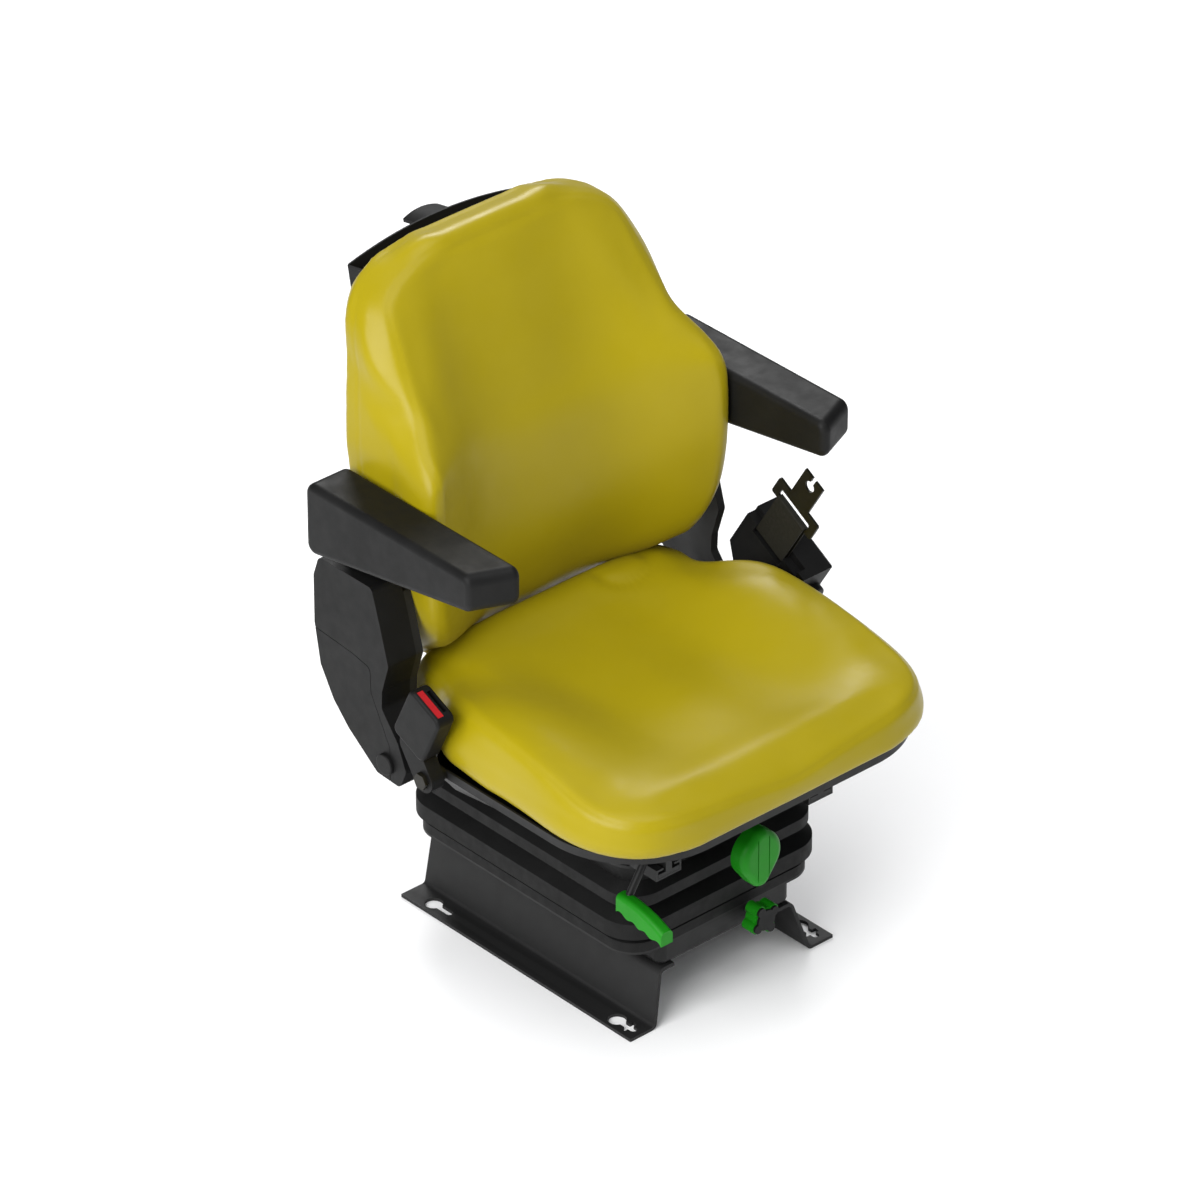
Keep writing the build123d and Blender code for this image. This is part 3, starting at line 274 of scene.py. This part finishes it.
def remesh(piece, voxel):
    modifier = piece.modifiers.new("remesh", "REMESH")
    modifier.mode = "VOXEL"
    modifier.voxel_size = voxel
    apply_all(piece)


def relax(piece, factor, steps):
    modifier = piece.modifiers.new("relax", "SMOOTH")
    modifier.factor = factor
    modifier.iterations = steps
    apply_all(piece)


def points_of(piece):
    points = np.empty(len(piece.data.vertices) * 3)
    piece.data.vertices.foreach_get("co", points)
    return points.reshape(-1, 3)


def normals_of(piece):
    normals = np.empty(len(piece.data.vertices) * 3)
    piece.data.vertices.foreach_get("normal", normals)
    return normals.reshape(-1, 3)


def put_points(piece, points):
    piece.data.vertices.foreach_set("co", points.reshape(-1))
    piece.data.update()


def spread_out(piece, values, rounds):
    """Even out values held on the points by averaging along the edges."""
    edges = np.empty(len(piece.data.edges) * 2, dtype=np.int64)
    piece.data.edges.foreach_get("vertices", edges)
    start, end = edges.reshape(-1, 2).T
    count = np.bincount(edges, minlength=len(values)).astype(float)[:, None]
    for _ in range(rounds):
        total = np.zeros_like(values)
        np.add.at(total, start, values[end])
        np.add.at(total, end, values[start])
        values = 0.5 * values + 0.5 * total / count
    return values


def snap(piece, node):
    """Bring every point back onto the node's own surface."""
    tree = BVHTree.FromObject(nodes[node], bpy.context.evaluated_depsgraph_get())
    places = [tree.find_nearest(vertex.co)[0] for vertex in piece.data.vertices]
    put_points(piece, np.array(places))


def inflate(piece, cap, held):
    """Swell the closed mesh as cloth under pressure; points in held stay, none moves past its cap."""
    start = points_of(piece)
    group = piece.vertex_groups.new(name="held")
    group.add([int(i) for i in np.nonzero(held)[0]], 1.0, "REPLACE")
    cloth = piece.modifiers.new("cloth", "CLOTH")
    cloth.settings.quality = 4
    cloth.settings.mass = 0.4
    cloth.settings.tension_stiffness = 25
    cloth.settings.compression_stiffness = 25
    cloth.settings.bending_stiffness = 8
    cloth.settings.use_pressure = True
    cloth.settings.uniform_pressure_force = cloth_pressure
    cloth.settings.effector_weights.gravity = 0
    cloth.settings.vertex_group_mass = "held"
    cloth.point_cache.frame_start = 1
    cloth.point_cache.frame_end = cloth_frames
    for frame_number in range(1, cloth_frames + 1):
        scene.frame_set(frame_number)
    apply_all(piece)
    scene.frame_set(1)
    moved = points_of(piece) - start
    length = np.linalg.norm(moved, axis=1, keepdims=True)
    moved *= np.minimum(1.0, cap[:, None] / np.maximum(length, 1e-9))
    put_points(piece, start + spread_out(piece, moved, 24))


def refine(piece):
    """Split every face once, on a smooth surface."""
    modifier = piece.modifiers.new("refine", "SUBSURF")
    modifier.levels = 1
    apply_all(piece)


def bell(distance, width):
    return np.exp(-((distance / width) ** 2))


def step(value, start, end):
    """Rise smoothly from 0 at start to 1 at end."""
    share = np.clip((value - start) / (end - start), 0.0, 1.0)
    return share * share * (3 - 2 * share)


def mirrored(line):
    """Return a line that starts at x = 0 with its mirror image in front of it."""
    return [(-x, y, z) for x, y, z in reversed(line[1:])] + line


def curve_through(places, pieces=24):
    """Return close points on a smooth curve through the given places."""
    line = np.array([places[0], *places, places[-1]])
    share = np.linspace(0.0, 1.0, pieces, endpoint=False)[:, None]
    curve = []
    for a, b, c, d in zip(line[:-3], line[1:-2], line[2:-1], line[3:]):
        square = (2 * a - 5 * b + 4 * c - d) * share**2
        cube = (3 * b - a - 3 * c + d) * share**3
        curve.append(0.5 * (2 * b + (c - a) * share + square + cube))
    return np.vstack([*curve, line[-1:]])


def distance_on(piece, places):
    """Return the distance of the piece's points to a curve laid on its surface."""
    surface = BVHTree.FromObject(piece, bpy.context.evaluated_depsgraph_get())
    curve = curve_through(places)
    tree = KDTree(len(curve))
    for i, place in enumerate(curve):
        tree.insert(surface.find_nearest(Vector(place))[0], i)
    tree.balance()
    return np.array([tree.find(vertex.co)[2] for vertex in piece.data.vertices])


def sew(piece, places, depth, width, ridge=0.0, ridge_width=0.014):
    """Draw the surface in along a seam, on top of a rounded ridge where there is one."""
    distance = distance_on(piece, places)
    out = ridge * bell(distance, ridge_width) - depth * bell(distance, width)
    put_points(piece, points_of(piece) + normals_of(piece) * out[:, None])


def finish_soft(piece, slot, body, replaced):
    piece.data.materials.clear()
    piece.data.materials.append(materials[slot])
    piece.data.polygons.foreach_set("use_smooth", [True] * len(piece.data.polygons))
    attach(piece, body)
    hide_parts(replaced)


# Cloth
cloth_voxel = 0.0055
cloth_pressure = 4.0
cloth_frames = 20
swell = 0.003
held_height = 0.010         # foot of the seat that rests in the pan

# Seat cushion, lines are places along Y
roll_line, roll_width, roll_rise = -0.245, 0.026, 0.0020
valley_line, valley_width, valley_depth = -0.170, 0.060, 0.002
foot_rise, foot_spread = 0.035, 0.007
rear_rise = 0.003
horseshoe_x, horseshoe_y = 0.100, 0.100
horseshoe_half_width, horseshoe_half_length = 0.034, 0.022
horseshoe_depth, horseshoe_width = 0.0025, 0.010
seat_seam_depth, seat_seam_width, seat_ridge = 0.0008, 0.0030, 0.0045

# Back cushion, heights are places along Z
crown_line, crown_width, crown_drop = 0.215, 0.030, 0.008
top_dip = 0.002
waist_height, waist_width, waist_fill = 0.712, 0.028, 0.006
notch_height, notch_width, notch_depth = 0.662, 0.024, 0.009
skirt_drop = 0.006
back_seam_depth, back_seam_width, back_ridge = 0.0006, 0.0028, 0.0030

# Seat cushion: a border seam round the shoulder, a front roll and a dished middle
seat = copy_of("seat_cushion", "seat_cushion_cover")
remesh(seat, cloth_voxel)
relax(seat, 0.5, 3)
snap(seat, "seat_cushion")
seat_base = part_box("seat_cushion")[0].z
points = points_of(seat)
inflate(seat, swell * (1.0 - step(points[:, 1], 0.060, 0.110)), points[:, 2] < seat_base + held_height)
refine(seat)
points = points_of(seat)
upward = step(normals_of(seat)[:, 2], 0.3, 0.8)
across, along = np.abs(points[:, 0]), points[:, 1]
roll = bell(along - roll_line, roll_width) * (1.0 - step(across, 0.120, 0.200))
points[:, 2] += upward * roll_rise * roll
valley = bell(along - valley_line, valley_width) * (1.0 - step(across, 0.060, 0.180))
points[:, 2] -= upward * valley_depth * valley
foot = 1.0 - step(points[:, 2], seat_base, seat_base + foot_rise)
foot *= step(across, 0.150, 0.200) * (1.0 - step(along, -0.060, 0.000))
points[:, 0] += np.sign(points[:, 0]) * foot_spread * foot
middle = 1.0 - step(across, 0.150, 0.180)
points[:, 2] += upward * rear_rise * step(along, 0.060, 0.100) * middle
horseshoe = [
    (horseshoe_x + horseshoe_half_width * math.sin(t), horseshoe_y - horseshoe_half_length * math.cos(t))
    for t in np.linspace(-1.7, 1.7, 15)
]
ring = np.min([np.hypot(points[:, 0] - x, along - y) for x, y in horseshoe], axis=0)
points[:, 2] -= upward * horseshoe_depth * bell(ring, horseshoe_width)
put_points(seat, points)
seat_seam = [
    (0.0, -0.285, 0.323), (-0.063, -0.282, 0.328), (-0.140, -0.278, 0.334), (-0.171, -0.274, 0.336),
    (-0.196, -0.262, 0.336), (-0.214, -0.242, 0.338), (-0.225, -0.217, 0.342), (-0.229, -0.187, 0.348),
    (-0.228, -0.142, 0.357), (-0.225, -0.064, 0.365), (-0.212, 0.018, 0.366), (-0.195, 0.061, 0.358),
    (-0.187, 0.094, 0.352),
]
sew(seat, mirrored(seat_seam), seat_seam_depth, seat_seam_width, ridge=seat_ridge)
finish_soft(seat, "yellow_vinyl", "seat", "seat_cushion")

# Back cushion: crowned top, waisted wings, a seam round the front panel and one along each side band
back = copy_of("back_cushion", "back_cushion_cover")
remesh(back, cloth_voxel)
relax(back, 0.5, 3)
snap(back, "back_cushion")
inflate(back, swell * step(points_of(back)[:, 2], 0.390, 0.460), normals_of(back)[:, 1] > 0.6)
refine(back)
points = points_of(back)
across, along, height = np.abs(points[:, 0]), points[:, 1], points[:, 2].copy()
top = step(height, 0.785, 0.806)
points[:, 2] -= top * crown_drop * step(np.abs(along - crown_line), 0.0, crown_width)
points[:, 2] -= top * top_dip * (1.0 - step(across, 0.050, 0.085))
wing_heights, wing_fronts = (0.611, 0.641, 0.666, 0.712, 0.760), (0.062, 0.088, 0.112, 0.149, 0.181)
edge = np.interp(height, wing_heights, wing_fronts)
outer = step(across, 0.150, 0.195) * np.sign(points[:, 0]) * (1.0 - step(along - edge, 0.010, 0.070))
filled = waist_fill * bell(height - waist_height, waist_width)
notched = notch_depth * bell(height - notch_height, notch_width)
points[:, 0] += outer * (filled - notched)
points[:, 2] -= skirt_drop * (1.0 - step(height, 0.340, 0.390))
put_points(back, points)
panel_seam = [
    (0.0, 0.201, 0.803), (-0.088, 0.200, 0.799), (-0.132, 0.196, 0.786), (-0.153, 0.190, 0.774),
    (-0.165, 0.181, 0.760), (-0.174, 0.149, 0.712), (-0.185, 0.112, 0.666), (-0.197, 0.088, 0.641),
    (-0.202, 0.062, 0.611), (-0.206, 0.055, 0.577), (-0.205, 0.056, 0.490), (-0.198, 0.063, 0.440),
    (-0.180, 0.080, 0.398),
]
sew(back, mirrored(panel_seam), back_seam_depth, back_seam_width, ridge=back_ridge)
band_seam = [
    (-0.095, 0.236, 0.803), (-0.130, 0.237, 0.793), (-0.160, 0.232, 0.780), (-0.177, 0.219, 0.765),
    (-0.191, 0.202, 0.716), (-0.203, 0.188, 0.660), (-0.211, 0.176, 0.600), (-0.212, 0.160, 0.520),
]
sew(back, band_seam, back_seam_depth, back_seam_width)
sew(back, [(-x, y, z) for x, y, z in band_seam], back_seam_depth, back_seam_width)
finish_soft(back, "yellow_vinyl", "backrest", "back_cushion")


def squeezed(node, name):
    """Put in place of a node a copy of its mesh, with sharp edges marked, that rides on the base body."""
    piece = copy_of(node, name)
    piece.data.set_sharp_from_angle(angle=sharp_angle)
    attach(piece, "base")
    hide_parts(node)
    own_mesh(piece)


squeezed("bellows", "bellows_skirt")
for side in ("left", "right"):
    squeezed(f"suspension_spring_{side}", f"spring_coil_{side}")


# Studio: pale floor, white backdrop, soft light
def flat_square(name, size, z):
    mesh = bpy.data.meshes.new(name)
    mesh.from_pydata([(-size, -size, z), (size, -size, z), (size, size, z), (-size, size, z)], [], [(0, 1, 2, 3)])
    square = bpy.data.objects.new(name, mesh)
    scene.collection.objects.link(square)
    return square


floor = flat_square("floor", 12.0, 0.0)
floor_shader = Shader("floor")
floor_tone = floor_shader.noise(3, 2)
floor_shader.colour(floor_shader.ramp(floor_tone, (0.3, (0.93, 0.93, 0.93)), (0.7, (0.95, 0.95, 0.95))))
floor_shader.rough(floor_shader.spread(floor_shader.noise(20, 2), 0.7, 0.8))
floor.data.materials.append(floor_shader.material)

world = bpy.data.worlds.new("studio")
scene.world = world
world.use_nodes = True
tree = world.node_tree
tree.nodes.clear()
path = tree.nodes.new("ShaderNodeLightPath")


def sky(colour, strength):
    node = tree.nodes.new("ShaderNodeBackground")
    node.inputs["Color"].default_value = (*colour, 1.0)
    node.inputs["Strength"].default_value = strength
    return node.outputs["Background"]


def choose(switch, usual, special):
    node = tree.nodes.new("ShaderNodeMixShader")
    tree.links.new(path.outputs[switch], node.inputs["Fac"])
    tree.links.new(usual, node.inputs[1])
    tree.links.new(special, node.inputs[2])
    return node.outputs["Shader"]


soft_sky = choose("Is Glossy Ray", sky((0.97, 0.98, 1.0), 0.55), sky((0.9, 0.95, 1.0), 0.05))
output = tree.nodes.new("ShaderNodeOutputWorld")
tree.links.new(choose("Is Camera Ray", soft_sky, sky((1.0, 1.0, 1.0), 1.0)), output.inputs["Surface"])


def area_light(name, towards, reach, size, power):
    """A soft rectangle at a direction and distance from the seat's middle."""
    data = bpy.data.lights.new(name, "AREA")
    data.shape = "RECTANGLE"
    data.size, data.size_y = size
    data.energy = power
    lamp = bpy.data.objects.new(name, data)
    away = Vector(towards).normalized()
    lamp.location = Vector((0.05, -0.10, 0.36)) + reach * away
    lamp.rotation_euler = (-away).to_track_quat("-Z", "Y").to_euler()
    scene.collection.objects.link(lamp)


area_light("key", (-0.84, -0.16, 0.52), 3.2, (2.4, 2.2), 112)
area_light("front", (0.30, -0.85, 0.45), 3.6, (1.2, 1.4), 3)
area_light("top", (-0.1, -0.2, 1.0), 3.4, (2.6, 2.6), 50)
area_light("rear", (0.47, 0.63, 0.61), 3.0, (1.2, 1.0), 38)

# Camera from the photo's angle
turn, lift, reach = math.radians(-42.023), math.radians(32.03), 9.2869
aim = Vector((-0.02424, 0.0, 0.42538))
away = Vector((math.sin(turn) * math.cos(lift), -math.cos(turn) * math.cos(lift), math.sin(lift)))
lens = bpy.data.cameras.new("camera")
lens.sensor_width = 36.0
lens.lens = 18.0 / math.tan(math.radians(4.0))
lens.clip_end = 60.0
camera = bpy.data.objects.new("camera", lens)
camera.location = aim + reach * away
camera.rotation_euler = (-away).to_track_quat("-Z", "Y").to_euler()
scene.collection.objects.link(camera)
scene.camera = camera
scene.view_settings.view_transform = "Standard"
